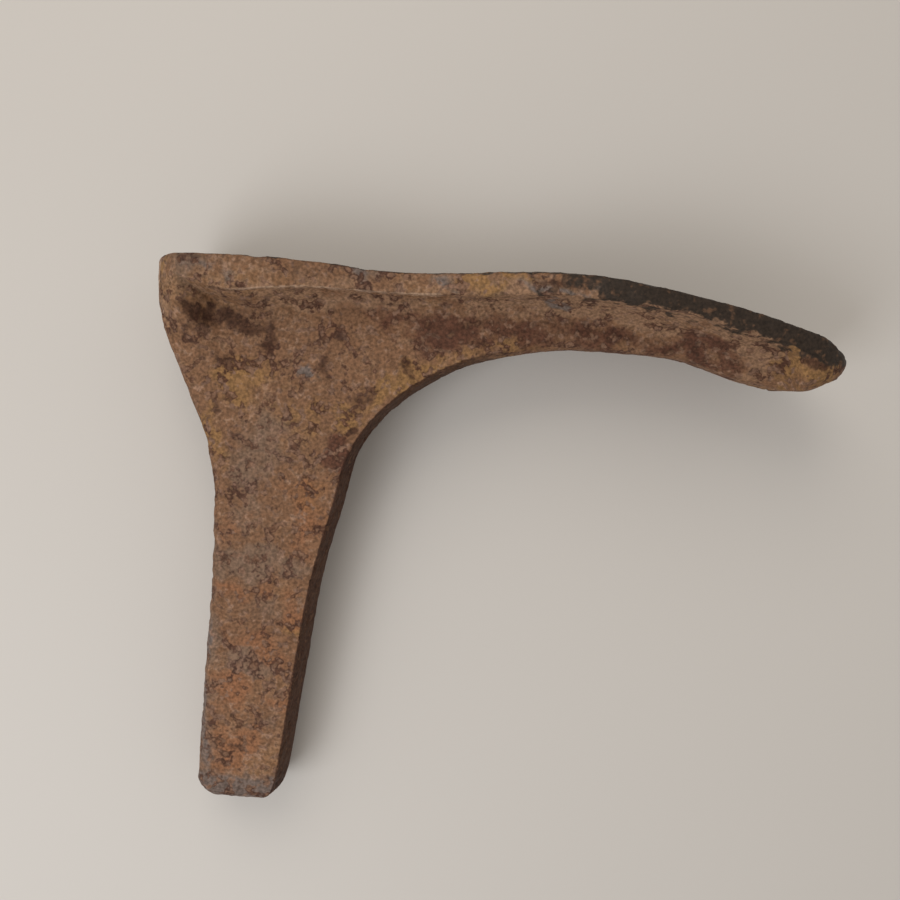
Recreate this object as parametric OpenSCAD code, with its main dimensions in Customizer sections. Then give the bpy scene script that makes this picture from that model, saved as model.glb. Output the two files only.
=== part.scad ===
// Iron shoe last: a foot-shaped sole plate, a rib and web under it, and a tapered tang,
// cast in one piece. It lies on its side, as it is laid down between jobs.
//
// The casting is one loft. Its shape is worked out in the last's own upright frame:
//   along  from the back of the heel to the toe,
//   up     from the heel seat, so that the tang points down,
//   out    from the mid-plane, where the two halves of the mould met.
// Each ring of the loft joins a point on the outer outline (back edge, sole, toe) to a point
// on the inner outline (front of the tang, throat, underside of the arm).

/* [Sole plate] */
// Length of the sole from the back of the heel to the toe
sole_len = 248; // [205:1:300]
// Width of the heel seat
heel_w = 54; // [45:1:65]
// Width of the waist, under the arch of the foot
waist_w = 41; // [34:1:50]
// Width across the ball of the foot
ball_w = 66; // [56:1:80]
// Width that the toe narrows from
toe_w = 54; // [44:1:65]
// Thickness of the rim at the heel
heel_rim = 12; // [9:0.5:15]
// Thickness of the rim at the waist
waist_rim = 7.5; // [6:0.5:10]
// Thickness of the rim at the ball and the toe
toe_rim = 7.5; // [6:0.5:10]
// How far the toe bends down below the heel seat
toe_drop = 20; // [14:1:26]
// How far the waist is hollowed below the heel seat
waist_hollow = 2.2; // [0:0.1:4]
// How much the sole is crowned across the ball
ball_crown = 2; // [0:0.1:3]

/* [Rib and web] */
// Depth of the arm from the sole to the free edge of the rib
arm_depth = 22.5; // [19:0.5:28]
// Thickness of the rib along its free edge
rib_t = 18; // [14:0.5:22]
// Draught of the rib, the extra thickness at its root
rib_draught = 4; // [0:0.5:6]
// Width of the cove between the rim and the rib
cove_w = 9; // [7:0.5:11]
// Thickness of the wall at the back of the heel
heel_wall = 8; // [6:0.5:10]

/* [Tang] */
// Height of the last from the tip of the tang to the heel seat
height = 199; // [165:1:240]
// Thickness of the tang and the web
tang_t = 26; // [22:0.5:31]
// Width of the tang at its tip
tang_tip_w = 31; // [27:0.5:37]
// Width of the tang where it starts to flare
tang_root_w = 39; // [33:0.5:47]
// Distance from the back of the heel to the middle of the tang's tip
tang_at = 36.5; // [34:0.5:44]
// How far the tang leans towards the heel over its straight length
tang_lean = 7; // [2:0.5:9]
// How far the front of the tang slopes out to its middle line, where the mould parted
tang_draft = 2; // [1:0.5:4]
// Radius along the two rear edges of the tang
tang_edge_r = 4.5; // [2:0.5:6]
// Radius of the tang's corners at its tip
tang_tip_r = 9; // [5:0.5:11]

/* [Loft] */
// Longest step from ring to ring
ring_step = 6; // [4:0.5:10]

/* [Hidden] */

// Places along the sole
seat_end = 45;
waist_at = 0.38 * sole_len;
ball_at = 0.573 * sole_len;
tread_at = 0.68 * sole_len;
toe_at = 0.75 * sole_len;
scoop_at = sole_len - 37;
scoop_end = sole_len - 23;
nose_at = sole_len - 12;
tip_drop = toe_drop + 4.5;
toe_round = 40;
heel_round = 19;
toe_curve = 1.6;
side_round = 1.3;

// Small radii
sole_edge_r = 1.8;
heel_edge_r = 2.5;
thinnest = 0.05;
side_edge_r = 0.8;
rim_lip_r = 1.2;
rib_edge_r = 4.5;

// Heights of the web and the tang, below the heel seat
back_drop = 5;
flare_drop = 80;
root_drop = 115;
throat_drop = 88;
throat_flare = 3.5;
tip_start = height - tang_tip_r;

// Half thicknesses
tang_half = tang_t / 2;
pocket_half = tang_half - 1;
rib_half = rib_t / 2;
rib_root_half = rib_half + rib_draught / 2;
heel_half = heel_w / 2;

function mix(a, b, t) = a + (b - a) * t;
function within(x, low, high) = max(low, min(high, x));
function smooth(t) = let(c = within(t, 0, 1)) c * c * (3 - 2 * c);

// A quarter circle that rises from 0 to 1 as t goes from 0 to 1
function quarter(t) = let(c = 1 - within(t, 0, 1)) sqrt(1 - c * c);

// What an edge of radius r takes off at a distance d inside it
function edge_loss(d, r) = r <= 0 ? 0 : r * (1 - quarter(d / r));

// Smooth steps between values at places along the sole
function stepped(u, places, values, i = 0) =
    i >= len(places) - 1 ? values[i]
    : u < places[i + 1]
        ? mix(values[i], values[i + 1], smooth((u - places[i]) / (places[i + 1] - places[i])))
        : stepped(u, places, values, i + 1);

// What a drafted front leaves of the thickness at a distance d inside it, at full draft (share
// = 1) or less: it slopes evenly from the mould's joint and is rounded at its top
function drafted(d, share) =
    1 - 0.93 * share * pow(1 - within(d / tang_draft, 0, 1), side_round);

// Half width of the foot outline: widths at the heel, waist, ball and toe, rounded at both ends
function foot_half(u) =
    stepped(u, [heel_half, waist_at, tread_at, 0.9 * sole_len], [heel_w, waist_w, ball_w, toe_w]) / 2
    * quarter(u / heel_round) * quarter((sole_len - u) / toe_round);

// The sole seen from the side: level seat, hollow waist, and a toe that bends down
function sole_up(u) =
    -stepped(u, [seat_end, waist_at, ball_at], [0, waist_hollow, 0.4 * waist_hollow])
    - toe_drop * pow(within((u - ball_at) / (sole_len - ball_at), 0, 1), toe_curve);

// Left and right edge of the straight tang at a depth below the heel seat
function tang_edge(drop, side) =
    let(t = (height - drop) / (height - root_drop))
    tang_at + tang_lean * t + side * mix(tang_tip_w, tang_root_w, t) / 2;

// Back edge, from the heel wall (t = 0) to the tang (t = 1)
function back_edge(t) =
    [mix(0, tang_edge(root_drop, -1), smooth(t)), -back_drop - t * flare_drop];

// Throat, a quarter of an ellipse from the tang (angle 0) to the arm (angle 90)
function throat(angle) =
    let(
        foot = [tang_edge(throat_drop, 1) + throat_flare, -throat_drop],
        top = [ball_at + 12, sole_up(ball_at + 12) - arm_depth - 1]
    )
    [mix(foot[0], top[0], 1 - cos(angle)), mix(foot[1], top[1], sin(angle))];

function on_sole(u) = [u, sole_up(u)];
function under_arm(u, depth) = [u, sole_up(u) - depth];

// Stations of the loft. Each row holds the outer point, the inner point, the half thickness at
// the root and at the inner edge, how far the outline follows the foot (0 tang, 1 foot), the
// rim's thickness, how softly it runs out (0 a crisp lip, 1 one slope) and its cove's width, how
// solid the section is (0 coved, 1 solid), the radii of the outer and inner edges, how far the
// inner side is drafted (0 square, 1 full draft), and the crown of the outer face.
function station(outer, inner, halves, foot, rim, solid, radii, draft, crown) =
    concat(outer, inner, halves, [foot], rim, [solid], radii, [draft, crown]);

tang_radii = [tang_edge_r, side_edge_r];
wall_radii = [heel_edge_r, side_edge_r];
edge_radii = [sole_edge_r, rib_edge_r];
closed = [0, 0];
tang_halves = [tang_half, tang_half];
heel_halves = [pocket_half, tang_half];
rib_halves = [rib_root_half, rib_half];
wall_rim = [heel_wall, 1, 2 * cove_w];
heel_corner = [heel_rim, 0.8, 1.5 * cove_w];

tip_end = [tang_at, -height];
tip_left = [tang_edge(tip_start, -1), -tip_start];
tip_right = [tang_edge(tip_start, 1), -tip_start];
root_left = [tang_edge(root_drop, -1), -root_drop];
root_right = [tang_edge(root_drop, 1), -root_drop];
nose_tip = [sole_len, -tip_drop];

// Rounded corner of the tang's tip, as a place from its straight edge (0) to its end (90)
function tip_corner(from, side, angle) =
    from + tang_tip_r * [-side * (1 - cos(angle)), -0.95 * sin(angle)];

STATIONS = [
    station(tip_end, tip_end, closed, 0, wall_rim, 0, [0.3, 0.3], 0, 0),
    station(tip_corner(tip_left, -1, 80), tip_corner(tip_right, 1, 80),
        0.6 * tang_halves, 0, wall_rim, 0, [2, side_edge_r], 0.6, 0),
    station(tip_corner(tip_left, -1, 40), tip_corner(tip_right, 1, 40),
        0.9 * tang_halves, 0, wall_rim, 0, [4, side_edge_r], 0.95, 0),
    station(tip_left, tip_right, tang_halves, 0, wall_rim, 0, tang_radii, 1, 0),
    station(root_left, root_right, tang_halves, 0, wall_rim, 0, tang_radii, 1, 0),
    station(back_edge(1.03), throat(2), tang_halves, 0, wall_rim, 0, tang_radii, 1, 0),
    station(back_edge(0.76), throat(17), tang_halves, 0, wall_rim, 0, tang_radii, 1, 0),
    station(back_edge(0.46), throat(25), tang_halves, 0.01, wall_rim, 0, tang_radii, 1, 0),
    station(back_edge(0.31), throat(28), [tang_half - 0.3, tang_half], 0.12, wall_rim, 0,
        [4, side_edge_r], 1, 0),
    station(back_edge(0.18), throat(30), [tang_half - 0.6, tang_half], 0.42, wall_rim, 0,
        [3.3, side_edge_r], 1, 0),
    station(back_edge(0.06), throat(33), heel_halves, 0.85, wall_rim, 0, wall_radii, 1, 0),
    station([1.2, -1.6], throat(36), heel_halves, 1, heel_corner, 0, wall_radii, 1, 0),
    station(on_sole(11), throat(40), heel_halves, 1, heel_corner, 0,
        [heel_edge_r, 1], 0.9, 0),
    station(on_sole(seat_end), throat(50), [tang_half - 1, tang_half - 0.5], 1,
        [mix(heel_rim, waist_rim, 0.6), 0.2, cove_w], 0, [sole_edge_r, 2], 0.6, 0),
    station(on_sole(waist_at), throat(66), [tang_half - 1, mix(tang_half, rib_half, 0.4)], 1,
        [waist_rim, 0, cove_w], 0, [sole_edge_r, 0.8 * rib_edge_r], 0.3, 0.4 * ball_crown),
    station(on_sole(ball_at), throat(90), rib_halves + [0.5, 0.5], 1,
        [waist_rim, 0, cove_w], 0, edge_radii, 0, ball_crown),
    station(on_sole(toe_at), under_arm(toe_at, arm_depth - 2), rib_halves, 1,
        [0.92 * toe_rim, 0, 1.1 * cove_w], 0, edge_radii, 0, ball_crown),
    station(on_sole(scoop_at), under_arm(scoop_at, arm_depth - 0.5), rib_halves, 1,
        [toe_rim, 0, 1.35 * cove_w], 0, edge_radii, 0, 0.9 * ball_crown),
    station(on_sole(scoop_end - 5), under_arm(scoop_end - 2, arm_depth - 1.1), rib_halves, 1,
        [toe_rim, 0, 1.4 * cove_w], 0.08, edge_radii, 0, 0.8 * ball_crown),
    station(on_sole(scoop_end + 1), under_arm(scoop_end + 4, arm_depth - 2.3), rib_halves, 1,
        [toe_rim, 0, 1.4 * cove_w], 0.92, [sole_edge_r, 6.5], 0, 0.7 * ball_crown),
    station(on_sole(nose_at), under_arm(nose_at + 1, arm_depth - 7), rib_halves, 1,
        [toe_rim, 0, cove_w], 1, [sole_edge_r, 7], 0, 0.6 * ball_crown),
    station(nose_tip + [-2.6, 1.5], nose_tip + [-4, -5], [8, 8], 1,
        [toe_rim, 0, cove_w], 1, [1.5, 5], 0, 0.3 * ball_crown),
    station(nose_tip, nose_tip, closed, 1, [toe_rim, 0, cove_w], 1, [0.5, 0.5], 0, 0),
];
LAST = len(STATIONS) - 1;

// The same station with its outer and inner points changed over, as if seen past a closed end
function turned(row) =
    [for (k = [0 : len(row) - 1]) k < 4 ? row[(k + 2) % 4] : row[k]];
function row_at(i) =
    i < 0 ? turned(STATIONS[1]) : i > LAST ? turned(STATIONS[LAST - 1]) : STATIONS[i];

// Smooth curve through stations that never overshoots them
function slope(a, b, c) = (b - a) * (c - b) <= 0 ? 0 : 2 * (b - a) * (c - b) / (c - a);
function through(a, b, c, d, t) =
    let(m = slope(a, b, c), n = slope(b, c, d), u = 1 - t)
    b * u * u * (1 + 2 * t) + m * t * u * u + c * t * t * (3 - 2 * t) - n * t * t * u;
function between(i, t) =
    let(a = row_at(i - 1), b = row_at(i), c = row_at(i + 1), d = row_at(i + 2))
    [for (k = [0 : len(b) - 1]) through(a[k], b[k], c[k], d[k], t)];

function outer_of(row) = [row[0], row[1]];
function inner_of(row) = [row[2], row[3]];
function steps_in(i) =
    let(
        a = STATIONS[i],
        b = STATIONS[i + 1],
        far = max(norm(outer_of(b) - outer_of(a)), norm(inner_of(b) - inner_of(a)))
    )
    max(3, ceil(far / ring_step));

// Every ring's row, without the two points where the loft closes
ROWS = [
    for (i = [0 : LAST - 1], n = steps_in(i), j = [0 : n - 1])
        if (i + j > 0) between(i, j / n)
];

// Names for the places in a row
HALVES = 4;
FOOT = 6;
RIM = 7;
SOFT = 8;
COVE = 9;
SOLID = 10;
OUTER_R = 11;
INNER_R = 12;
DRAFT = 13;
CROWN = 14;

// Half thickness at a distance x from the outer outline, on a ring from outer to inner
function half_at(row, x, rim, reach, u) =
    let(
        web = mix(row[HALVES], row[HALVES + 1], within(x / reach, 0, 1)),
        outline = mix(web, foot_half(within(u, 0, sole_len)), row[FOOT]),
        ledge = max(outline - web, 0),
        crisp = 1 - row[SOFT],
        lip = min(rim_lip_r, ledge) * crisp,
        way = (x - rim) / row[COVE],
        fall = mix(1 - smooth(way), 1 - quarter(way), crisp),
        coved = x < rim ? outline - min(edge_loss(rim - x, rim_lip_r), ledge) * crisp
            : min(web, outline) + (ledge - lip) * fall,
        rounded = mix(coved, outline, row[SOLID])
            - edge_loss(max(x, 0), row[OUTER_R]) - edge_loss(reach - x, row[INNER_R])
    )
    max(rounded * drafted(reach - x, row[DRAFT]), thinnest);

// Fractions that place the points of a half section in each of its zones
EDGE_POINTS = [0, 0.12, 0.4, 0.75, 1];
RIM_POINTS = [0.2, 0.5, 0.8, 1];
COVE_POINTS = [0.05, 0.2, 0.5, 1];

// Half section as [x, out] pairs, from the middle of the outer face to that of the inner one
function half_section(row, direction, reach, rim) =
    let(
        r = min(row[OUTER_R], 0.3 * reach),
        s = min(max(row[INNER_R], tang_draft * row[DRAFT]), 0.4 * reach),
        coved = min(rim + row[COVE], mix(rim, reach - s, 0.9)),
        xs = concat(
            [for (f = EDGE_POINTS) r * f],
            [for (f = RIM_POINTS) mix(r, rim, f)],
            [for (f = COVE_POINTS) mix(rim, coved, f)],
            [mix(coved, reach - s, 0.5)],
            [for (f = EDGE_POINTS) reach - s * (1 - f)]
        ),
        outs = [for (x = xs) half_at(row, x, rim, reach, row[0] + direction[0] * x)]
    )
    concat(
        [[-row[CROWN], 0], [-row[CROWN] * 0.75, outs[0] / 2]],
        [for (k = [0 : len(xs) - 1]) [xs[k], outs[k]]],
        [[reach, 0]]
    );

// Closed ring of points: the half section on this side, then its mirror image on the other
function ring(row, heading) =
    let(
        span = inner_of(row) - outer_of(row),
        reach = norm(span),
        direction = span / reach,
        lean = abs(direction[0] * heading[1] - direction[1] * heading[0]),
        rim = min(row[RIM] / max(lean, 0.5), 0.55 * reach),
        half = half_section(row, direction, reach, rim),
        count = len(half)
    )
    [
        for (k = [0 : 2 * count - 3])
            let(p = half[k < count ? k : 2 * count - 2 - k], side = k < count ? 1 : -1)
            [row[0] + direction[0] * p[0], row[1] + direction[1] * p[0], side * p[1]]
    ];

function unit(v) = v / norm(v);
function heading(i) =
    unit(outer_of(ROWS[min(i + 1, len(ROWS) - 1)]) - outer_of(ROWS[max(i - 1, 0)]));

RINGS = [for (i = [0 : len(ROWS) - 1]) ring(ROWS[i], heading(i))];
SIDES = len(RINGS[0]);
TIP_POLE = len(RINGS) * SIDES;
TOE_POLE = TIP_POLE + 1;
function corner(i, j) = i * SIDES + j % SIDES;

POINTS = concat(
    [for (loop = RINGS, p = loop) p],
    [[tip_end[0], tip_end[1], 0], [nose_tip[0], nose_tip[1], 0]]
);
FACES = concat(
    [for (j = [0 : SIDES - 1]) [TIP_POLE, corner(0, j), corner(0, j + 1)]],
    [
        for (i = [0 : len(RINGS) - 2], j = [0 : SIDES - 1], half = [0, 1])
            half == 0
                ? [corner(i, j), corner(i + 1, j), corner(i + 1, j + 1)]
                : [corner(i, j), corner(i + 1, j + 1), corner(i, j + 1)]
    ],
    [
        for (j = [0 : SIDES - 1])
            [TOE_POLE, corner(len(RINGS) - 1, j + 1), corner(len(RINGS) - 1, j)]
    ]
);

// The three places that it rests on: the rim at the heel, the rim at the ball, and the tang
heel_rest = [heel_half, 1 - heel_rim, -heel_half];
ball_rest = [tread_at, sole_up(tread_at) - mix(waist_rim, toe_rim, 0.4), -ball_w / 2];
tang_rest = [tip_left[0] + tang_edge_r, -tip_start, -tang_half];
rest_up = unit(cross(tang_rest - heel_rest, ball_rest - heel_rest));
lean_angle = asin(rest_up[1]);
roll_angle = atan2(rest_up[0], rest_up[2]);

// A point of the upright last, turned as it lies
function laid(p) =
    let(
        x = p[0] * cos(roll_angle) - p[2] * sin(roll_angle),
        z = p[0] * sin(roll_angle) + p[2] * cos(roll_angle)
    )
    [
        x,
        p[1] * cos(lean_angle) - z * sin(lean_angle),
        p[1] * sin(lean_angle) + z * cos(lean_angle)
    ];
LAID = [for (p = POINTS) laid(p)];
function low(k) = min([for (p = LAID) p[k]]);
function high(k) = max([for (p = LAID) p[k]]);
to_origin = [-(low(0) + high(0)) / 2, -(low(1) + high(1)) / 2, -low(2)];

module shoe_last() {
    color("saddlebrown")
    translate(to_origin)
    rotate([lean_angle, 0, 0])
    rotate([0, -roll_angle, 0])
    polyhedron(POINTS, FACES, convexity = 6);
}

shoe_last();
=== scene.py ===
"""Iron shoe last lying on its side on a pale table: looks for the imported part.

The last is one casting, so it is one piece: a dense closed surface that takes the place of the
plain casting of the frame. It follows the same outlines, and adds the uneven skin, the pits and
the chipped edges that rust leaves. One rust finish covers it, and one stage shows it.

Lengths are in metres in the settings and in the finished meshes. The casting is worked out in
millimetres in its own upright frame (along: heel to toe, up: heel seat at 0, out: from the
mid-plane), and is then laid down as the frame has it.
"""

import math

import bpy
import numpy as np
from bpy.props import FloatProperty, IntProperty, PointerProperty, StringProperty
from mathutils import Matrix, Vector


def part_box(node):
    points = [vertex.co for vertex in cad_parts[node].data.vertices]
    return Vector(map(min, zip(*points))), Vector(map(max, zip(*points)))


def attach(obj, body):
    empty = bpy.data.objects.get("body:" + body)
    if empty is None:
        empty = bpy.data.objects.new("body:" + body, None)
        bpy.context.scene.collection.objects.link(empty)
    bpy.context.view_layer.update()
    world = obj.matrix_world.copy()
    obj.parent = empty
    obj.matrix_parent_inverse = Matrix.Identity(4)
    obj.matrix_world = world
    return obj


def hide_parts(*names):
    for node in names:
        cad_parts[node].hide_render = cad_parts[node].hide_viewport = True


bl_info = {
    "name": "Iron Shoe Last",
    "version": (1, 0, 0),
    "blender": (4, 5, 0),
    "location": "View3D > Sidebar > Shoe Last",
    "description": "Builds a rusty cast iron shoe last over its packed frame",
    "category": "Add Mesh",
}

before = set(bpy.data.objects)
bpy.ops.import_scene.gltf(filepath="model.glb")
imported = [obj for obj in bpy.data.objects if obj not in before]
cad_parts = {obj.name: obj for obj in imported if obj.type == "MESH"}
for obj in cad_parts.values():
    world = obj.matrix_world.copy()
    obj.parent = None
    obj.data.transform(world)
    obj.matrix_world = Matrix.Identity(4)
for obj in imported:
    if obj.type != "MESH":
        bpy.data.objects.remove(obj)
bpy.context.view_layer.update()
LAST_NODE = "shoe_last"
LIP_R = 1.2
MM = 0.001


# ---------------------------------------------------------------- settings


def length(name, description, default):
    """A length setting in metres."""
    return FloatProperty(name=name, description=description, default=default, min=0.0, unit="LENGTH")


def finish_colour(name, description, default):
    """A colour setting, as an sRGB hex value."""
    return StringProperty(name=name, description=description, default=default)


class LastSizes(bpy.types.PropertyGroup):
    """Sizes of the casting."""

    sole_len: length("Sole length", "From the back of the heel to the toe", 0.248)
    heel_w: length("Heel width", "Width of the heel seat", 0.054)
    waist_w: length("Waist width", "Width under the arch of the foot", 0.041)
    ball_w: length("Ball width", "Width across the ball of the foot", 0.066)
    toe_w: length("Toe width", "Width that the toe narrows from", 0.054)
    heel_rim: length("Heel rim", "Thickness of the rim at the heel", 0.012)
    waist_rim: length("Waist rim", "Thickness of the rim at the waist", 0.0075)
    toe_rim: length("Toe rim", "Thickness of the rim at the ball and the toe", 0.0075)
    toe_drop: length("Toe drop", "How far the toe bends down below the heel seat", 0.020)
    waist_hollow: length("Waist hollow", "How far the waist is hollowed", 0.0022)
    ball_crown: length("Ball crown", "How much the sole is crowned across the ball", 0.002)
    arm_depth: length("Arm depth", "From the sole to the free edge of the rib", 0.0225)
    rib_t: length("Rib thickness", "Thickness of the rib along its free edge", 0.018)
    rib_draught: length("Rib draught", "Extra thickness of the rib at its root", 0.004)
    cove_w: length("Cove width", "Width of the cove between the rim and the rib", 0.009)
    heel_wall: length("Heel wall", "Thickness of the wall at the back of the heel", 0.008)
    height: length("Height", "From the tip of the tang to the heel seat", 0.199)
    tang_t: length("Tang thickness", "Thickness of the tang and the web", 0.026)
    tang_tip_w: length("Tang tip width", "Width of the tang at its tip", 0.031)
    tang_root_w: length("Tang root width", "Width of the tang where it flares", 0.039)
    tang_at: length("Tang place", "From the back of the heel to the middle of the tang's tip", 0.0365)
    tang_lean: length("Tang lean", "How far the tang leans towards the heel", 0.007)
    tang_draft: length("Tang draft", "How far its front slopes out to where the mould parted", 0.002)
    tang_edge_r: length("Tang edges", "Radius along its two rear edges", 0.0045)
    tang_tip_r: length("Tang tip radius", "Radius of the tang's corners at its tip", 0.009)


class SkinSettings(bpy.types.PropertyGroup):
    """How fine the surface is, and how deep rust has worked it."""

    rings: IntProperty(name="Rings", description="Rings from the tang to the toe", default=440, min=60)
    sides: IntProperty(name="Sides", description="Points round each ring, an even number", default=220, min=40)
    swell: length("Swell", "Height of the slow waves that hand moulding leaves", 0.00035)
    scale: length("Scale", "Height of the crust's lumps", 0.00022)
    pits: length("Pits", "Depth of the pits", 0.00045)
    seed: IntProperty(name="Seed", description="Changes where the lumps and pits lie", default=7, min=0)


class RustColours(bpy.types.PropertyGroup):
    """Colours of the rusted iron."""

    brown: finish_colour("Brown", "Old, settled rust", "#775740")
    # Tan is also painted light in the cove and under the rim.
    tan: finish_colour("Tan", "Dusty rust on the raised grain", "#8b6c54")
    # Ochre is also a painted highlight on the scoop's end wall.
    ochre: finish_colour("Ochre", "Yellow rust", "#896741")
    orange: finish_colour("Orange", "Fresh rust", "#885c40")
    red: finish_colour("Red", "Dark red rust of the damp places", "#553529")
    # The dark coat is thick scale, and also painted shade on the tang's inner side, along the throat and in the heel
    # pocket's corner.
    dark: finish_colour("Dark", "Thick brown-black scale", "#3c251b")
    scale: finish_colour("Scale", "Red-brown spots of thicker rust", "#4b3126")
    pale: finish_colour("Pale", "Dry flecks of dust on the grain", "#987965")
    grey: finish_colour("Grey", "Handled iron with the rust rubbed down", "#715c4c")
    # Also a painted highlight along the rim's lower edge, besides rubbed edges and streaks.
    worn_and_highlight: finish_colour("Worn", "Pale line where an edge is rubbed", "#a88c76")
    bare: finish_colour("Bare", "Iron that shows through, blue-grey", "#685d58")
    black: finish_colour("Black", "Casting skin blackened by wax and wear", "#30261e")


class StageSettings(bpy.types.PropertyGroup):
    """Table, lights and camera."""

    floor_size: length("Table size", "Side of the table", 8.0)
    camera_height: length("Camera height", "Height of the camera above the table", 0.360)
    view_angle: FloatProperty(
        name="View angle", description="Width of the camera's view", default=math.radians(53.0), subtype="ANGLE"
    )
    camera_turn: FloatProperty(
        name="Camera turn", description="How the camera is turned about the vertical", default=math.radians(3.2),
        subtype="ANGLE",
    )
    window_power: FloatProperty(name="Window", description="Power of the near window", default=2.4, unit="POWER")
    side_power: FloatProperty(name="Side light", description="Power of the far window", default=2.2, unit="POWER")
    room_light: FloatProperty(name="Room light", description="Strength of the light of the room", default=0.5)
    floor_tone: finish_colour("Table", "Colour of the table", "#cdc8c2")


# ---------------------------------------------------------------- small helpers


def linear(code):
    """An sRGB hex value as linear red, green, blue and alpha 1."""
    values = [int(code[k : k + 2], 16) / 255 for k in (1, 3, 5)]
    return [v / 12.92 if v <= 0.04045 else ((v + 0.055) / 1.055) ** 2.4 for v in values] + [1.0]


def mix(a, b, t):
    """Straight line from a (t = 0) to b (t = 1)."""
    return a + (b - a) * t


def smooth(t):
    """S-shaped step from 0 to 1, flat at both ends."""
    c = np.clip(t, 0, 1)
    return c * c * (3 - 2 * c)


def quarter(t):
    """Quarter circle that rises from 0 to 1 as t goes from 0 to 1."""
    c = 1 - np.clip(t, 0, 1)
    return np.sqrt(1 - c * c)


def edge_loss(d, r):
    """What a rounded edge of radius r takes off at a distance d inside it."""
    return r * (1 - quarter(d / np.maximum(r, 1e-6)))


def stepped(x, places, values):
    """Smooth steps between values at places."""
    i = np.clip(np.searchsorted(places, x, side="right") - 1, 0, len(places) - 2)
    places, values = np.asarray(places, float), np.asarray(values, float)
    t = smooth((x - places[i]) / (places[i + 1] - places[i]))
    return mix(values[i], values[i + 1], t)


def lattice_noise(points, size, seed):
    """Gradient noise, about -1 to 1: at each corner of a cube lattice stands a random direction, and the value is
    the dot product of that direction with the way from the corner, blended over the cube by an S-shaped step."""
    rng = np.random.default_rng(seed)
    table = rng.permutation(256)
    ways = rng.normal(size=(256, 3))
    ways /= np.linalg.norm(ways, axis=1)[:, None]
    p = points / size
    cell = np.floor(p).astype(int)
    part = p - cell
    blend = part**3 * (part * (part * 6 - 15) + 10)
    total = np.zeros(len(p))
    for corner in np.ndindex(2, 2, 2):
        at = (cell + corner) % 256
        way = ways[table[(table[(table[at[:, 0]] + at[:, 1]) % 256] + at[:, 2]) % 256]]
        weight = np.prod(np.where(np.array(corner) == 1, blend, 1 - blend), axis=1)
        total += weight * np.einsum("ij,ij->i", way, part - corner)
    return total * 1.6


def rough_noise(points, size, seed, octaves=4):
    """Sum of gradient noises, each half the size and 0.55 of the height of the one before."""
    return sum(lattice_noise(points, size / 2**k, seed + k) * 0.55**k for k in range(octaves))


# ---------------------------------------------------------------- the casting


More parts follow.
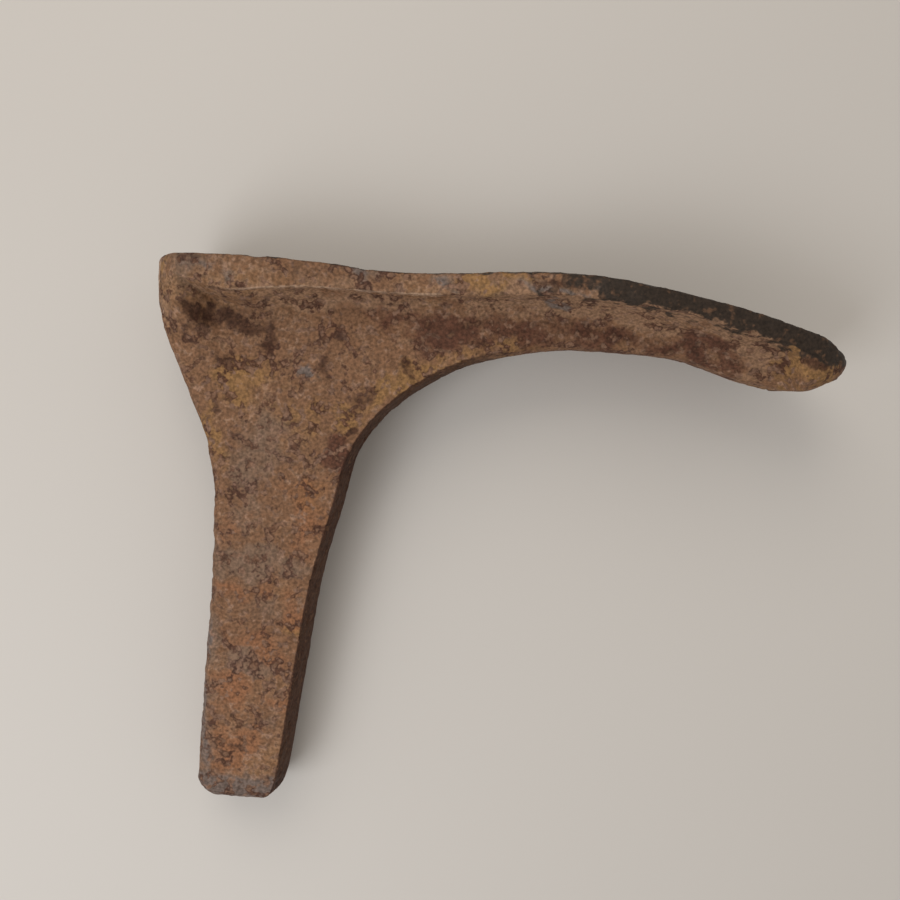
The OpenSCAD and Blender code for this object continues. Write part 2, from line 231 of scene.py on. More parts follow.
class Outline:
    """The last's outlines and stations in millimetres, from its sizes."""

    def __init__(self, sizes):
        for name in LastSizes.__annotations__:
            setattr(self, name, getattr(sizes, name) / MM)
        self.seat_end = 45.0
        self.waist_at = 0.38 * self.sole_len
        self.ball_at = 0.573 * self.sole_len
        self.tread_at = 0.68 * self.sole_len
        self.toe_at = 0.75 * self.sole_len
        self.tip_drop = self.toe_drop + 4.5
        self.root_drop = 115.0
        self.tip_start = self.height - self.tang_tip_r
        self.tang_half = self.tang_t / 2
        self.rib_half = self.rib_t / 2

    def foot_half(self, u):
        """Half width of the foot: smooth steps from heel to waist, ball and toe, times a quarter circle at each end."""
        places = [self.heel_w / 2, self.waist_at, self.tread_at, 0.9 * self.sole_len]
        widths = stepped(u, places, [self.heel_w, self.waist_w, self.ball_w, self.toe_w])
        return widths / 2 * quarter(u / 19) * quarter((self.sole_len - u) / 40)

    def sole_up(self, u):
        """The sole from the side: level seat, hollow waist, and a toe that bends down as a power of the way past the ball."""
        hollow = stepped(u, [self.seat_end, self.waist_at, self.ball_at], [0, self.waist_hollow, 0.4 * self.waist_hollow])
        past = np.clip((u - self.ball_at) / (self.sole_len - self.ball_at), 0, 1)
        return -hollow - self.toe_drop * past**1.6

    def tang_edge(self, drop, side):
        """Left (-1) or right (1) edge of the straight tang at a depth below the heel seat."""
        t = (self.height - drop) / (self.height - self.root_drop)
        return self.tang_at + self.tang_lean * t + side * mix(self.tang_tip_w, self.tang_root_w, t) / 2

    def back_edge(self, t):
        """Back edge, from the heel wall (t = 0) to the tang (t = 1)."""
        return [float(mix(0, self.tang_edge(self.root_drop, -1), smooth(t))), -5 - 80 * t]

    def throat(self, degrees):
        """Quarter of an ellipse from the tang (angle 0) to the underside of the arm (angle 90)."""
        angle = math.radians(degrees)
        foot = [self.tang_edge(88, 1) + 3.5, -88]
        top = [self.ball_at + 12, float(self.sole_up(self.ball_at + 12)) - self.arm_depth - 1]
        return [mix(foot[0], top[0], 1 - math.cos(angle)), mix(foot[1], top[1], math.sin(angle))]

    def drafted(self, d, share):
        """What a drafted front leaves of the thickness at a distance d inside it: it slopes evenly from the mould's
        joint and is rounded at its top."""
        return 1 - 0.93 * share * (1 - np.clip(d / self.tang_draft, 0, 1)) ** 1.3

    def on_sole(self, u):
        return [u, float(self.sole_up(u))]

    def under_arm(self, u, depth):
        return [u, float(self.sole_up(u)) - depth]

    def stations(self):
        """Rows of the loft: outer point, inner point, half thickness at the root and at the inner edge, how far the
        outline follows the foot, the rim's thickness, how softly it runs out and its cove's width, how solid the section is, the radii
        of the outer and inner edges, how far the inner side is drafted, and the crown of the outer face."""
        side, rib, root = self.tang_half, self.rib_half, self.rib_half + self.rib_draught / 2
        crown, depth, cove = self.ball_crown, self.arm_depth, self.cove_w
        scoop, nose = self.sole_len - 37, self.sole_len - 12
        tang, heel, ribs = (side, side), (side - 1, side), (root, rib)
        wall, corner = (self.heel_wall, 1, 2 * cove), (self.heel_rim, 0.8, 1.5 * cove)
        soft = (self.tang_edge_r, 0.8)
        left, right = self.tang_edge(self.tip_start, -1), self.tang_edge(self.tip_start, 1)
        root_left, root_right = self.tang_edge(self.root_drop, -1), self.tang_edge(self.root_drop, 1)
        tip, toe = (self.tang_at, -self.height), (self.sole_len, -self.tip_drop)

        def tip_corner(x, hand, degrees):
            """Rounded corner of the tang's tip, from its straight edge (0) to its end (90)."""
            angle = math.radians(degrees)
            return (x - hand * self.tang_tip_r * (1 - math.cos(angle)),
                    -self.tip_start - 0.95 * self.tang_tip_r * math.sin(angle))

        rows = [
            (tip, tip, (0, 0), 0, wall, 0, (0.3, 0.3), 0, 0),
            (tip_corner(left, -1, 80), tip_corner(right, 1, 80), (0.6 * side, 0.6 * side), 0, wall, 0,
             (2, 0.8), 0.6, 0),
            (tip_corner(left, -1, 40), tip_corner(right, 1, 40), (0.9 * side, 0.9 * side), 0, wall, 0,
             (4, 0.8), 0.95, 0),
            ((left, -self.tip_start), (right, -self.tip_start), tang, 0, wall, 0, soft, 1, 0),
            ((root_left, -self.root_drop), (root_right, -self.root_drop), tang, 0, wall, 0, soft, 1, 0),
            (self.back_edge(1.03), self.throat(2), tang, 0, wall, 0, soft, 1, 0),
            (self.back_edge(0.76), self.throat(17), tang, 0, wall, 0, soft, 1, 0),
            (self.back_edge(0.46), self.throat(25), tang, 0.01, wall, 0, soft, 1, 0),
            (self.back_edge(0.31), self.throat(28), (side - 0.3, side), 0.12, wall, 0, (4, 0.8), 1, 0),
            (self.back_edge(0.18), self.throat(30), (side - 0.6, side), 0.42, wall, 0, (3.3, 0.8), 1, 0),
            (self.back_edge(0.06), self.throat(33), heel, 0.85, wall, 0, (2.5, 0.8), 1, 0),
            ((1.2, -1.6), self.throat(36), heel, 1, corner, 0, (2.5, 0.8), 1, 0),
            (self.on_sole(11), self.throat(40), heel, 1, corner, 0, (2.5, 1), 0.9, 0),
            (self.on_sole(self.seat_end), self.throat(50), (side - 1, side - 0.5), 1,
             (mix(self.heel_rim, self.waist_rim, 0.6), 0.2, cove), 0, (1.8, 2), 0.6, 0),
            (self.on_sole(self.waist_at), self.throat(66), (side - 1, mix(side, rib, 0.4)), 1,
             (self.waist_rim, 0, cove), 0, (1.8, 3.6), 0.3, 0.4 * crown),
            (self.on_sole(self.ball_at), self.throat(90), (root + 0.5, rib + 0.5), 1,
             (self.waist_rim, 0, cove), 0, (1.8, 4.5), 0, crown),
            (self.on_sole(self.toe_at), self.under_arm(self.toe_at, depth - 2), ribs, 1,
             (0.92 * self.toe_rim, 0, 1.1 * cove), 0, (1.8, 4.5), 0, crown),
            (self.on_sole(scoop), self.under_arm(scoop, depth - 0.5), ribs, 1,
             (self.toe_rim, 0, 1.35 * cove), 0, (1.8, 4.5), 0, 0.9 * crown),
            (self.on_sole(scoop + 9), self.under_arm(scoop + 12, depth - 1.1), ribs, 1,
             (self.toe_rim, 0, 1.4 * cove), 0.08, (1.8, 4.5), 0, 0.8 * crown),
            (self.on_sole(scoop + 15), self.under_arm(scoop + 18, depth - 2.3), ribs, 1,
             (self.toe_rim, 0, 1.4 * cove), 0.92, (1.8, 6.5), 0, 0.7 * crown),
            (self.on_sole(nose), self.under_arm(nose + 1, depth - 7), ribs, 1,
             (self.toe_rim, 0, cove), 1, (1.8, 7), 0, 0.6 * crown),
            ((toe[0] - 2.6, toe[1] + 1.5), (toe[0] - 4, toe[1] - 5), (8, 8), 1,
             (self.toe_rim, 0, cove), 1, (1.5, 5), 0, 0.3 * crown),
            (toe, toe, (0, 0), 1, (self.toe_rim, 0, cove), 1, (0.5, 0.5), 0, 0),
        ]
        flat = [(*a, *b, *halves, foot, *rim, solid, *radii, draft, top)
                for a, b, halves, foot, rim, solid, radii, draft, top in rows]
        return np.array(flat, float)

    def rests(self):
        """The three places that the last lies on: rim at the heel, rim at the ball, tip of the tang."""
        heel = [self.heel_w / 2, 1 - self.heel_rim, -self.heel_w / 2]
        ball_up = float(self.sole_up(self.tread_at)) - mix(self.waist_rim, self.toe_rim, 0.4)
        ball = [self.tread_at, ball_up, -self.ball_w / 2]
        tang = [self.tang_edge(self.tip_start, -1) + self.tang_edge_r, -self.tip_start, -self.tang_half]
        return np.array([heel, ball, tang])


def through(rows, s):
    """Smooth curve through the stations that never overshoots: cubic between two rows, with the harmonic mean of the
    steps before and after a row as its slope there, or 0 where they differ in sign. Past each end stands the next
    row with its outer and inner points changed over."""
    swap = [2, 3, 0, 1, *range(4, rows.shape[1])]
    full = np.vstack([rows[1][swap], rows, rows[-2][swap]])
    step = np.diff(full, axis=0)
    before, after = step[:-1], step[1:]
    same = before * after > 0
    slope = np.where(same, 2 * before * after / np.where(same, before + after, 1), 0)
    i = np.clip(s.astype(int), 0, len(rows) - 2)
    t = (s - i)[:, None]
    r = 1 - t
    return (rows[i] * r * r * (1 + 2 * t) + slope[i] * t * r * r
            + rows[i + 1] * t * t * (3 - 2 * t) - slope[i + 1] * t * t * r)


def even_rings(rows, count):
    """Loft places at even steps, judged by the mean of the way along the outer and the inner outline."""
    s = np.linspace(0, len(rows) - 1, 8000)
    line = through(rows, s)
    way = np.linalg.norm(np.diff(line[:, 0:2], axis=0), axis=1) + np.linalg.norm(np.diff(line[:, 2:4], axis=0), axis=1)
    run = np.concatenate([[0], np.cumsum(way)])
    return np.interp(np.linspace(0, run[-1], count + 2)[1:-1], run, s)


def half_sections(outline, rows):
    """Dense half sections, one per row, as (along, up, out, distance from the outer line).

    Out to the rim's edge the half thickness is the foot's outline. Past it the cove falls to the web, as a
    quarter circle or as one soft slope. Both ends lose a rounded edge, and the outer face is crowned as a parabola."""
    col = [rows[:, k : k + 1] for k in range(rows.shape[1])]
    ou, ov, iu, iv, root, tip, foot, rim, soft, cove, solid, outer_r, inner_r, draft, crown = col
    reach = np.hypot(iu - ou, iv - ov)
    du, dv = (iu - ou) / reach, (iv - ov) / reach
    hu, hv = np.gradient(ou, axis=0), np.gradient(ov, axis=0)
    size = np.hypot(hu, hv)
    lean = np.abs(du * hv / size - dv * hu / size)
    rim = np.minimum(rim / np.maximum(lean, 0.5), 0.55 * reach)
    r = np.minimum(outer_r, 0.3 * reach)
    s = np.minimum(np.maximum(inner_r, outline.tang_draft * draft), 0.4 * reach)
    lip_at = np.maximum(rim - LIP_R, r)
    coved = np.minimum(rim + cove, mix(rim, reach - s, 0.9))

    def zone(a, b, n, bend=1.0):
        return mix(a, b, (np.arange(n) / n)[None, :] ** bend)

    face = np.linspace(0, 1, 40, endpoint=False)[None, :]
    x = np.hstack([
        0 * reach * face, zone(0 * r, r, 40, 1.6), zone(r, lip_at, 40), zone(lip_at, rim, 30),
        zone(rim, coved, 60, 1.8), zone(coved, reach - s, 80), reach - s + s * np.sin(np.pi / 2 * np.arange(41)[None, :] / 40),
        reach * np.ones((1, 41)),
    ])
    middle = x.shape[1] - face.shape[1] - 41
    part = np.hstack([face * np.ones_like(reach), np.ones((len(reach), middle)), np.linspace(1, 0, 41)[None, :] * np.ones_like(reach)])
    u = ou + du * x
    web = mix(root, tip, np.clip(x / reach, 0, 1))
    edge = mix(web, outline.foot_half(np.clip(u, 0, outline.sole_len)), foot)
    ledge = np.maximum(edge - web, 0)
    lip = np.minimum(LIP_R, ledge) * (1 - soft)
    way = (x - rim) / cove
    fall = mix(1 - quarter(way), 1 - smooth(way), soft)
    on_rim = edge - np.minimum(edge_loss(rim - x, LIP_R), ledge) * (1 - soft)
    out = np.where(x < rim, on_rim, np.minimum(web, edge) + (ledge - lip) * fall)
    out = mix(out, edge, solid) - edge_loss(np.maximum(x, 0), outer_r) - edge_loss(reach - x, inner_r)
    out *= outline.drafted(reach - x, draft)
    x = x - crown * (1 - part**2) * (x <= 0)
    return np.stack([ou + du * x, ov + dv * x, np.maximum(out, 0.05) * part, x], -1), rim, reach


def respaced(lines, count):
    """Each line with count even points: its measure is its length plus a length for each radian that it turns, so
    that points crowd where it bends."""
    step = np.diff(lines[..., :3], axis=1)
    far = np.linalg.norm(step, axis=2)
    way = step / np.maximum(far, 1e-9)[..., None]
    turn = np.arccos(np.clip(np.sum(way[:, 1:] * way[:, :-1], axis=2), -1, 1))
    turn = np.where((far[:, 1:] > 1e-6) & (far[:, :-1] > 1e-6), turn, 0)
    measure = far + 1.2 * np.hstack([turn, turn[:, -1:] * 0])
    run = np.hstack([np.zeros((len(lines), 1)), np.cumsum(measure, axis=1)])
    want = np.linspace(0, 1, count)
    return np.array([
        [np.interp(want * r[-1], r, line[:, k]) for k in range(line.shape[1])] for r, line in zip(run, lines)
    ]).transpose(0, 2, 1)


def closed_rings(outline, rings, sides):
    """Rings of the casting, mirrored to both sides, with each point's distance from the outer line, and the rim
    thickness, reach and station values of each ring."""
    stations = outline.stations()
    rows = through(stations, even_rings(stations, rings))
    dense, rim, reach = half_sections(outline, rows)
    near = respaced(dense, sides // 2 + 1)
    far = near[:, -2:0:-1].copy()
    far[..., 2] *= -1
    return np.concatenate([near, far], axis=1), rows, rim, reach


def ring_faces(rings, sides):
    """Quads between rings, and a fan of triangles to a pole at each end."""
    i, j = np.meshgrid(np.arange(rings - 1), np.arange(sides), indexing="ij")
    k = (j + 1) % sides
    quads = np.stack([i * sides + j, i * sides + k, (i + 1) * sides + k, (i + 1) * sides + j], -1).reshape(-1, 4)
    j = np.arange(sides)
    k = (j + 1) % sides
    pole, last = rings * sides, (rings - 1) * sides
    start = np.stack([np.full(sides, pole), k, j], -1)
    end = np.stack([np.full(sides, pole + 1), last + j, last + k], -1)
    return quads, np.vstack([start, end])


def outward(grid):
    """Unit normals of the closed rings, from the cross product of the steps along and round them."""
    along = np.gradient(grid, axis=0)
    round_it = np.roll(grid, -1, axis=1) - np.roll(grid, 1, axis=1)
    normal = np.cross(round_it, along)
    return normal / np.maximum(np.linalg.norm(normal, axis=2), 1e-9)[..., None]


def relief(points, edges, skin):
    """How far the skin stands in or out, in millimetres: slow swells, lumps of crust in patches, pits where a fine
    noise passes a limit that a slower noise moves, and chips along the edges."""
    swell = rough_noise(points, 34.0, skin.seed, 2) * skin.swell / MM
    patch = smooth(rough_noise(points, 18.0, skin.seed + 11, 2) + 0.5)
    lumps = rough_noise(points, 4.2, skin.seed + 23, 3) * skin.scale / MM * (0.45 + patch)
    limit = 0.34 - 0.22 * rough_noise(points, 15.0, skin.seed + 37, 3)
    pits = smooth((rough_noise(points, 3.4, skin.seed + 41, 2) - limit) / 0.35) * skin.pits / MM
    chips = smooth(rough_noise(points, 9.0, skin.seed + 59, 4) * 1.3) * 0.35 * edges
    return swell + lumps - pits - chips


def laid_down(points, outline, box):
    """Upright millimetres to the frame's metres: turned until the three resting places are level, then moved so that
    its box stands where the frame's does."""
    heel, ball, tang = outline.rests()
    up = np.cross(tang - heel, ball - heel)
    up /= np.linalg.norm(up)
    lean, roll = math.asin(up[1]), math.atan2(up[0], up[2])

    def turned(p):
        x = p[:, 0] * math.cos(roll) - p[:, 2] * math.sin(roll)
        z = p[:, 0] * math.sin(roll) + p[:, 2] * math.cos(roll)
        y = p[:, 1] * math.cos(lean) - z * math.sin(lean)
        return np.stack([x, y, p[:, 1] * math.sin(lean) + z * math.cos(lean)], -1) * MM

    low, high = (np.array(corner) for corner in box)
    smooth_skin = turned(points)
    near, away = smooth_skin.min(axis=0), smooth_skin.max(axis=0)
    shift = (low + high) / 2 - (near + away) / 2
    shift[2] = low[2] - near[2]
    return turned, shift


# ---------------------------------------------------------------- where the rust differs, and where light and shade are painted

# Patches on the upper side, in millimetres: along, up, half length, half width, turn in degrees, strength
PATCHES = {
    # Painted shade among the dark patches: those round (18, -19) darken the heel pocket's corner, partly as dirt, and
    # (76, -58) and (74, -83) darken the throat's inner side, which is in shade.
    "dark": [
        (18, -19, 8, 6, 0, 0.85), (13, -27, 3, 4, 0, 0.7), (30, -23, 14, 4, -8, 0.85), (43, -25, 6, 7, 0, 0.8),
        (25, -36, 8, 5, 0, 0.6), (67, -27, 4, 3, 0, 0.8), (64, -35, 4, 3, 30, 0.7), (78, -25, 2.5, 4, 0, 0.7),
        (94, -35, 6, 2.5, -10, 0.7), (77, -46, 6, 3, 20, 0.7), (26, -54, 4, 4, 0, 0.6), (32, -62, 3, 6, 0, 0.5),
        (56, -45, 6, 5, 0, 0.4), (33, -178, 3, 2.5, 0, 0.6), (36, -163, 4, 2.5, 30, 0.5), (40, -174, 3, 2.5, 0, 0.5),
        (118, -18, 3, 1.5, 0, 0.9), (18, -4, 9, 3, 0, 0.55), (142, -2, 14, 3, 0, 0.8), (104, -22, 12, 5, 0, 0.6),
        (192, -24, 12, 3, -10, 0.6), (233, -25, 8, 3, -25, 0.9), (38, -25, 10, 4, 0, 0.6), (76, -58, 3, 4, 20, 1.2),
        (74, -83, 2, 12, -10, 0.8),
    ],
    "red": [
        (105, -21, 17, 8, 0, 1.1), (85, -15, 14, 4, 0, 0.7), (132, -19, 16, 6, 0, 0.9), (160, -21, 26, 5, -2, 0.8),
        (192, -24, 18, 5, -10, 1.1), (69, -67, 8, 7, 20, 1.1), (206, -29, 8, 4, -15, 0.7), (30, -132, 8, 6, 0, 0.3),
    ],
    # The ochre patch at (224, -27) is partly a painted highlight on the scoop's end wall, which faces the near window,
    # over ochre rust.
    "ochre": [
        (33, -43, 12, 8, 0, 0.8), (88, -42, 14, 6, 32, 1.0), (73, -55, 8, 7, 40, 0.7), (56, -54, 14, 8, 0, 0.5),
        (104, -35, 14, 4, 20, 0.8), (128, -26, 14, 4, 10, 0.6), (4, -9, 5, 9, 0, 0.9), (23, -62, 5, 16, 15, 0.7),
        (119, -4, 9, 3.5, 0, 1.1), (131, -4, 4, 3, 0, 0.9), (224, -27, 4, 8, 0, 1.1), (234, -30, 9, 5, -10, 0.9),
        (56, -131, 4, 6, 0, 0.8), (60, -85, 7, 10, 0, 0.6), (10, -34, 5, 10, 25, 0.3),
    ],
    "orange": [
        (48, -63, 5, 4, 0, 1.0), (59, -90, 9, 16, 0, 0.8), (35, -95, 6, 6, 0, 0.6), (32, -118, 8, 4, 0, 0.9),
        (46, -116, 8, 3, 0, 0.6), (56, -126, 6, 8, 0, 0.8), (42, -139, 14, 6, -20, 0.8), (34, -155, 11, 9, 0, 0.9),
        (50, -160, 8, 5, 0, 0.7), (36, -178, 14, 9, 0, 1.0), (50, -146, 6, 6, 0, 0.4), (12, -33, 3, 2, 0, 0.6),
    ],
    "grey": [
        (43, -62, 11, 10, 0, 1.0), (35, -73, 9, 9, 0, 0.9), (42, -74, 7, 10, 0, 0.8), (38, -90, 6, 12, 0, 0.8),
        (58, -38.5, 2.6, 2.6, 30, 1.6), (56, -33, 10, 8, 0, 0.35), (38, -108, 20, 6, 0, 1.0), (55, -111, 6, 5, 0, 0.9),
        (44, -124, 8, 6, 0, 0.8), (40, -145, 10, 4.5, -15, 1.0), (45, -168, 4, 3, 0, 0.7), (24, -150, 5, 50, 0, 1.1),
        (25, -112, 5, 26, 0, 0.8), (18, -5, 12, 5, 0, 0.9), (75, -4, 7, 3.5, 0, 1.2),
        (104, -5, 6, 2.5, 0, 1.2), (138, -6, 22, 3, 0, 1.0), (125, -1, 16, 2, 0, 0.8), (56, -4, 10, 4, 0, 0.5),
    ],
    "bare": [
        (40, -195, 26, 8, 0, 1.5), (58, -38.5, 2.4, 2.4, 30, 1.7), (142, -6.5, 16, 1.6, 0, 0.9), (75, -4, 5, 3, 0, 0.8),
        (23, -150, 2.5, 50, 3, 0.9), (104, -6, 4, 1.5, 0, 1.0), (26, -6, 10, 2, 0, 0.6),
    ],
    # Partly painted light: the tan patches along the arm's cove and just under the rim's lower edge lighten where these
    # faces turn to the near window, as well as tan dust.
    "tan": [
        (165, -11, 48, 4, -3, 1.8), (205, -18, 24, 4.5, -22, 1.4), (214, -24, 10, 6, -20, 0.9), (120, -9, 34, 2.5, 0, 0.7),
        (60, -11, 40, 3, 0, 1.0), (90, -28, 16, 8, 0, 0.4), (5, -13, 4, 12, 0, 1.2),
    ],
}


def patch_field(points, spots, warp):
    """Sum of soft ellipses, whose edges a noise pushes about. The side that is turned away has the same spots moved
    along and up, so that it doesn't repeat the near side."""
    away = smooth(-points[:, 2] / 9)
    u = points[:, 0] + warp[:, 0] + 9 * away
    v = points[:, 1] + warp[:, 1] + 13 * away
    total = np.zeros(len(points))
    for along, up, half_len, half_wide, degrees, strength in spots:
        c, s = math.cos(math.radians(degrees)), math.sin(math.radians(degrees))
        a = ((u - along) * c + (v - up) * s) / half_len
        b = ((v - up) * c - (u - along) * s) / half_wide
        total = np.maximum(total, strength * np.exp(-0.9 * (a * a + b * b)))
    return total


def paint_weights(points, ring_facts, outline):
    """Weights for the rust's kinds at each point, from the patches, the rim and the edges, with painted shade and
    painted light among them.
    """
    seed = 101
    warp = np.stack([rough_noise(points, 11.0, seed + k, 3) * 5.0 for k in (0, 10)], -1)
    kinds = {name: patch_field(points, spots, warp) for name, spots in PATCHES.items()}
    x, rim, reach, foot, solid = ring_facts
    ragged = rough_noise(points, 5.0, seed + 40, 4)
    on_rim = foot * smooth((rim + 2.5 * solid + 2.0 * ragged - x) / 4.5 + 0.5)
    sole = foot * smooth((1.2 - x) / 1.2)
    forward = smooth((points[:, 0] + 12 * ragged - 122) / 46)
    kinds["black"] = np.maximum(on_rim * forward, sole * 0.7)
    under_nose = smooth((-points[:, 1] - 24 + 3 * ragged) / 4) * smooth((points[:, 0] - 218) / 8)
    kinds["black"] *= 1 - 0.9 * under_nose
    # Painted shade: the inner side of the tang and throat faces away from the near window, so it is darkened with the
    # dark coat, partly as dirt.
    inner_face_shade = smooth((x - reach + 2.9) / 1.4) * (1 - foot * smooth((points[:, 0] - 80) / 70))
    kinds["dark"] = np.maximum(kinds["dark"], 1.5 * inner_face_shade)
    along = smooth((points[:, 0] - 22) / 10) * smooth((112 - points[:, 0]) / 12)
    # Painted highlight: a pale line along the rim's lower edge where it catches the light, partly a rubbed edge.
    rim_edge = np.exp(-(((x - rim + 0.3) / 0.9) ** 2)) * foot * (1 - solid) * along
    end_face = smooth((-points[:, 1] - outline.tip_start + 4 + 2 * ragged) / 6)
    kinds["bare"] = np.maximum(kinds["bare"], 1.1 * end_face)
    kinds["worn_and_highlight"] = 0.8 * rim_edge
    streaks = smooth(rough_noise(points * [1.0, 0.12, 1.0], 1.6, seed + 60, 2) * 1.5 + 0.5)
    kinds["worn_and_highlight"] += 0.9 * streaks * smooth((8 - points[:, 0]) / 5) * smooth((45 + points[:, 1]) / 10)
    return kinds


# ---------------------------------------------------------------- finishes


def add(tree, kind, inputs=(), **settings):
    """Adds a node and returns it. An input is given a link or a value of its own; a setting is a property."""
    node = tree.nodes.new(kind)
    for name, value in settings.items():
        setattr(node, name, value)
    for socket, value in dict(inputs).items():
        if isinstance(value, bpy.types.NodeSocket):
            tree.links.new(value, node.inputs[socket])
        else:
            node.inputs[socket].default_value = value
    return node


def new_material(name):
    """An empty node material, its tree and its output node."""
    material = bpy.data.materials.new(name)
    material.use_nodes = True
    tree = material.node_tree
    tree.nodes.clear()
    return material, tree, tree.nodes.new("ShaderNodeOutputMaterial")


def rusted_iron(colours):
    """Grey cast iron with an old coat of rust, never painted.

    The eye sees a dry, grainy crust: brown with tan dust on its grain, ochre and orange where it is fresh, dark
    blots where it is thick, and smoother grey or black skin where it was handled, with a dull sheen. Light and shade
    are painted in too: shade on the tang's inner side, along the throat and in the heel pocket, and light along the
    rim's lower edge, in the cove and on the scoop's end."""
    material, tree, output = new_material("rusted_cast_iron")
    coords = add(tree, "ShaderNodeTexCoord").outputs["Object"]

    # Sizes of the crust's features in mm. Its real grain is about 0.3 mm and is drawn at 1.1 mm, so that it shows.
    fields = {}
    for name, size, detail in (("grain", 1.1, 3), ("fleck", 2.6, 2), ("mottle", 5.0, 3), ("blots", 11.0, 3),
                               ("clouds", 24.0, 4)):
        fields[name] = add(tree, "ShaderNodeTexNoise", {"Vector": coords, "Scale": 1 / (size * MM),
                                                       "Detail": detail}).outputs["Fac"]
    for name, fine, share, coarse in (("edge", "mottle", 0.9, "blots"), ("spots", "fleck", 0.8, "mottle"),
                                      ("cluster", "spots", 0.6, "blots"), ("dapple", "spots", 0.5, "clouds")):
        fields[name] = add(tree, "ShaderNodeMath", {0: fields[coarse], 1: share, 2: fields[fine]},
                           operation="MULTIPLY_ADD").outputs[0]

    # The coats, from the lowest up: colour, painted weight if any, the field that breaks it up, the limits between
    # which it comes in, and how much of it there is.
    coats = (
        ("tan", "", "dapple", 1.06, 1.30, 0.95),
        ("ochre", "", "clouds", 0.52, 0.72, 0.25),
        # Tan dust, and painted light in the cove and under the rim.
        ("tan", "tan", "edge", 1.15, 1.75, 0.85),
        # Ochre rust, and a painted highlight on the scoop's end wall.
        ("ochre", "ochre", "edge", 1.1, 1.75, 0.85),
        ("orange", "orange", "edge", 1.1, 1.8, 0.75),
        ("red", "red", "edge", 1.15, 1.8, 0.85),
        ("grey", "grey", "edge", 1.2, 1.8, 0.7),
        ("bare", "bare", "edge", 1.15, 1.7, 0.8),
        ("scale", "", "cluster", 1.2, 1.34, 0.95),
        ("pale", "", "fleck", 0.54, 0.66, 0.5),
        # Rubbed edges and streaks, and a painted highlight line along the rim's lower edge.
        ("worn_and_highlight", "worn_and_highlight", "spots", 1.25, 1.8, 0.8),
        # Dark scale, and painted shade on the tang's inner side, along the throat and in the heel pocket's corner.
        ("dark", "dark", "cluster", 1.45, 1.95, 0.85),
        ("black", "black", "cluster", 1.5, 1.95, 1.0),
        ("brown", "", "spots", 0.98, 1.14, 0.4),
    )
    skin = add(tree, "ShaderNodeRGB").outputs[0]
    skin.default_value = linear(colours.brown)
    masks = {}
    for colour, painted, field, low, high, most in coats:
        place = fields[field]
        if painted:
            weight = add(tree, "ShaderNodeAttribute", attribute_name=painted).outputs["Fac"]
            place = add(tree, "ShaderNodeMath", {0: place, 1: weight}, operation="ADD").outputs[0]
        mask = add(tree, "ShaderNodeMapRange", {"Value": place, "From Min": low, "From Max": high, "To Max": most},
                   interpolation_type="SMOOTHSTEP").outputs["Result"]
        skin = add(tree, "ShaderNodeMix", {0: mask, 6: skin, 7: linear(getattr(colours, colour))},
                   data_type="RGBA").outputs[2]
        masks[painted] = mask
    lift = add(tree, "ShaderNodeMapRange", {"Value": fields["grain"], "From Min": 0.35, "From Max": 0.65,
                                            "To Min": 0.68, "To Max": 1.32}).outputs["Result"]
    skin = add(tree, "ShaderNodeVectorMath", {0: skin, "Scale": lift}, operation="SCALE").outputs[0]

    # Rough crust, and a duller sheen where grey or black skin was rubbed smooth.
    rubbed = add(tree, "ShaderNodeMath", {0: masks["grey"], 1: masks["black"]}, operation="MAXIMUM").outputs[0]
    crust = add(tree, "ShaderNodeMapRange", {"Value": fields["mottle"], "From Min": 0.3, "From Max": 0.7,
                                             "To Min": 0.76, "To Max": 0.94}).outputs["Result"]
    rough = add(tree, "ShaderNodeMath", {0: rubbed, 1: -0.22, 2: crust}, operation="MULTIPLY_ADD").outputs[0]

    # Heights: flecks and mottle of about 0.1 to 0.2 mm, and pits as deep in the middle of their round cells.
    pits = add(tree, "ShaderNodeTexVoronoi", {"Vector": coords, "Scale": 1 / (3.1 * MM)}).outputs["Distance"]
    height = add(tree, "ShaderNodeMapRange", {"Value": pits, "From Min": 0.06, "From Max": 0.3, "To Min": -0.08 * MM,
                                              "To Max": 0.0}, interpolation_type="SMOOTHSTEP").outputs["Result"]
    for name, depth in (("grain", 0.05), ("fleck", 0.12), ("mottle", 0.22)):
        height = add(tree, "ShaderNodeMath", {0: fields[name], 1: depth * MM, 2: height},
                     operation="MULTIPLY_ADD").outputs[0]
    bump = add(tree, "ShaderNodeBump", {"Height": height, "Strength": 1.0, "Distance": 1.0})
    shader = add(tree, "ShaderNodeBsdfPrincipled", {"Base Color": skin, "Roughness": rough, "Metallic": 0.0,
                                                   "Specular IOR Level": 0.22,
                                                   "Normal": bump.outputs["Normal"]})
    tree.links.new(shader.outputs["BSDF"], output.inputs["Surface"])
    return material


def table_top(tone):
    """Smooth matt laminate: plain and pale, with no pattern, so that it only takes the shadow."""
    material, tree, output = new_material("pale_table_laminate")
    shader = add(tree, "ShaderNodeBsdfPrincipled", {"Base Color": linear(tone), "Roughness": 0.65})
    tree.links.new(shader.outputs["BSDF"], output.inputs["Surface"])
    return material


# ---------------------------------------------------------------- operators


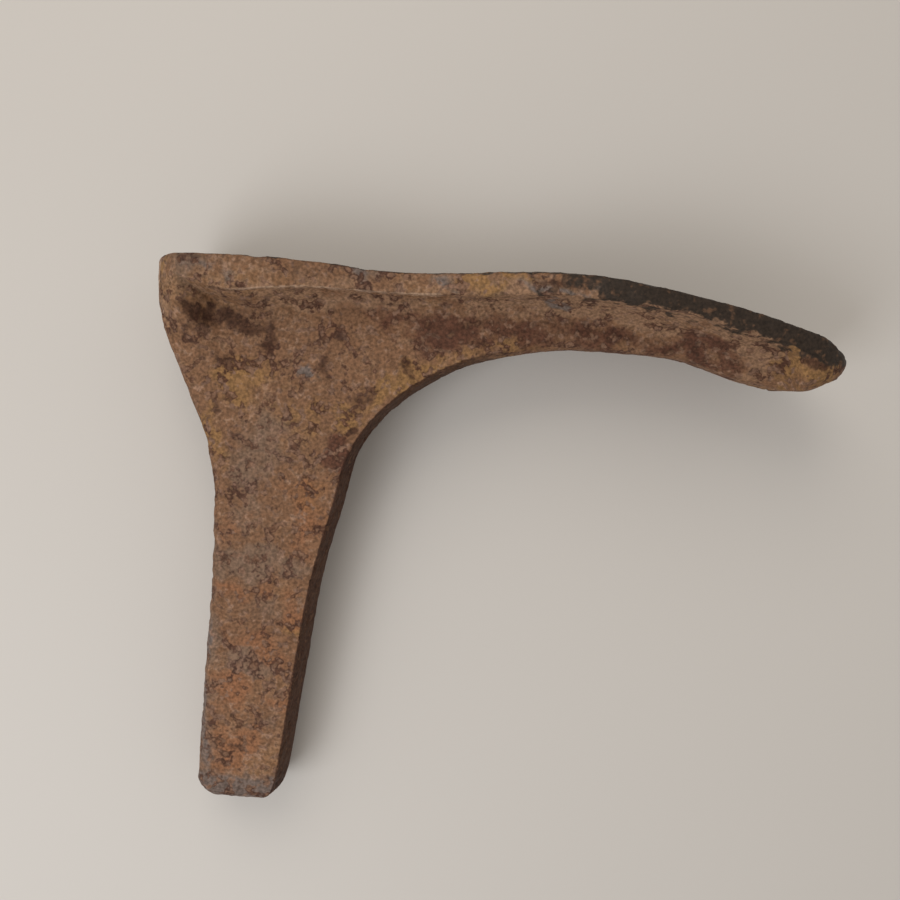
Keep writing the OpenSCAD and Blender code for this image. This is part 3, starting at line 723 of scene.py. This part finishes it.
class LAST_OT_casting(bpy.types.Operator):
    """Builds the rusted casting in place of the plain one"""

    bl_idname = "shoe_last.casting"
    bl_label = "Casting"

    def execute(self, context):
        scene = context.scene
        outline, skin = Outline(scene.last_sizes), scene.last_skin
        grid, rows, rim, reach = closed_rings(outline, skin.rings, skin.sides)
        rings, sides = grid.shape[:2]
        points, x = grid[..., :3], grid[..., 3]
        normals = outward(points)
        foot, solid = rows[:, 6:7], rows[:, 10:11]
        lip = np.exp(-(((x - rim) / 1.3) ** 2)) * foot * (1 - solid)
        outer = np.exp(-(((x - 0.6) / 1.2) ** 2)) * smooth(np.abs(points[..., 2]) / 6 - 0.5)
        edges = np.maximum(lip, outer)
        flat = points.reshape(-1, 3)
        push = relief(flat, edges.reshape(-1), skin).reshape(rings, sides)
        push *= smooth(np.minimum(np.arange(rings), np.arange(rings)[::-1]) / 6.0)[:, None] * 0.8 + 0.2
        turned, shift = laid_down(flat, outline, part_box(LAST_NODE))
        skin_points = (points + normals * push[..., None]).reshape(-1, 3)
        poles = np.array([skin_points[:sides].mean(axis=0), skin_points[-sides:].mean(axis=0)])
        tips = np.array([[outline.tang_at, -outline.height, 0], [outline.sole_len, -outline.tip_drop, 0]])
        poles = mix(poles, tips, 0.5)
        placed = turned(np.vstack([skin_points, poles])) + shift
        placed[:, 2] = np.maximum(placed[:, 2], 0.0)
        quads, fans = ring_faces(rings, sides)
        mesh = bpy.data.meshes.new("rusty_casting")
        mesh.from_pydata(placed.tolist(), [], quads.tolist() + fans.tolist())
        if mesh.validate():
            raise RuntimeError("the casting's mesh had faults")
        mesh.polygons.foreach_set("use_smooth", np.ones(len(mesh.polygons), dtype=bool))
        facts = [np.broadcast_to(v, (rings, sides)).reshape(-1) for v in (x, rim, reach, foot, solid)]
        for name, values in paint_weights(flat, facts, outline).items():
            layer = mesh.attributes.new(name, "FLOAT", "POINT")
            layer.data.foreach_set("value", np.append(values, [values[0], values[-1]]).astype(np.float32))
        mesh.update()
        piece = bpy.data.objects.new("rusty_casting", mesh)
        scene.collection.objects.link(piece)
        mesh.materials.append(rusted_iron(scene.last_colours))
        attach(piece, "root")
        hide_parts(LAST_NODE)
        return {"FINISHED"}


class LAST_OT_stage(bpy.types.Operator):
    """Builds the table, the lights and the camera"""

    bl_idname = "shoe_last.stage"
    bl_label = "Stage"

    def execute(self, context):
        scene = context.scene
        stage = scene.last_stage
        half = stage.floor_size / 2
        mesh = bpy.data.meshes.new("table")
        low = -0.0002
        corners = [(-half, -half, low), (half, -half, low), (half, half, low), (-half, half, low)]
        mesh.from_pydata(corners, [], [(0, 1, 2, 3)])
        floor = bpy.data.objects.new("table", mesh)
        scene.collection.objects.link(floor)
        mesh.materials.append(table_top(stage.floor_tone))

        self.lamp("near_window", (-0.41, -0.30, 0.64), 0.40, stage.window_power, (0.97, 1.0, 1.04))
        self.lamp("far_window", (-0.22, 0.62, 0.70), 0.60, stage.side_power, (1.0, 0.93, 0.84))

        world = bpy.data.worlds.new("room")
        world.use_nodes = True
        tree = world.node_tree
        tree.nodes.clear()
        output = tree.nodes.new("ShaderNodeOutputWorld")
        light = add(tree, "ShaderNodeBackground", {"Color": linear("#fffaf4"), "Strength": stage.room_light})
        seen = add(tree, "ShaderNodeBackground", {"Color": linear(stage.floor_tone), "Strength": 1.0})
        path = add(tree, "ShaderNodeLightPath").outputs
        rays = path["Is Camera Ray"]
        for kind in ("Is Glossy Ray", "Is Transmission Ray"):
            rays = add(tree, "ShaderNodeMath", {0: rays, 1: path[kind]}, operation="ADD", use_clamp=True).outputs[0]
        shown = add(tree, "ShaderNodeMixShader", {0: rays, 1: light.outputs[0], 2: seen.outputs[0]})
        tree.links.new(shown.outputs[0], output.inputs["Surface"])
        scene.world = world

        camera = bpy.data.cameras.new("camera")
        camera.angle = stage.view_angle
        camera.clip_start = 0.01
        holder = bpy.data.objects.new("camera", camera)
        holder.location = (-0.0154, 0.03415, stage.camera_height)
        holder.rotation_euler = (0, 0, stage.camera_turn)
        scene.collection.objects.link(holder)
        scene.camera = holder
        scene.view_settings.view_transform = "Standard"
        return {"FINISHED"}

    def lamp(self, name, place, size, power, tint):
        """A square lamp that faces the middle of the object."""
        data = bpy.data.lights.new(name, "AREA")
        data.size, data.energy, data.color = size, power, tint
        lamp = bpy.data.objects.new(name, data)
        x, y, z = place
        lamp.location = place
        lamp.rotation_euler = (math.atan2(math.hypot(x, y), z), 0, math.atan2(y, x) + math.pi / 2)
        bpy.context.scene.collection.objects.link(lamp)


class LAST_PT_panel(bpy.types.Panel):
    """Lists the steps that build the last"""

    bl_idname = "LAST_PT_panel"
    bl_label = "Shoe Last"
    bl_space_type = "VIEW_3D"
    bl_region_type = "UI"
    bl_category = "Shoe Last"

    def draw(self, context):
        column = self.layout.column()
        for step in STEPS:
            column.operator(step.bl_idname)
        for group, members in SETTINGS.items():
            for name in members.__annotations__:
                column.prop(getattr(context.scene, group), name)


STEPS = (LAST_OT_casting, LAST_OT_stage)
SETTINGS = {
    "last_sizes": LastSizes, "last_skin": SkinSettings, "last_colours": RustColours, "last_stage": StageSettings,
}


def register():
    """Registers the settings, the steps and the panel."""
    for group, members in SETTINGS.items():
        bpy.utils.register_class(members)
        setattr(bpy.types.Scene, group, PointerProperty(type=members))
    for step in (*STEPS, LAST_PT_panel):
        bpy.utils.register_class(step)


def unregister():
    """Takes them away again."""
    for step in (LAST_PT_panel, *reversed(STEPS)):
        bpy.utils.unregister_class(step)
    for group, members in reversed(SETTINGS.items()):
        delattr(bpy.types.Scene, group)
        bpy.utils.unregister_class(members)


def main():
    register()
    bpy.ops.shoe_last.casting()
    bpy.ops.shoe_last.stage()


if __name__ == "__main__":
    main()
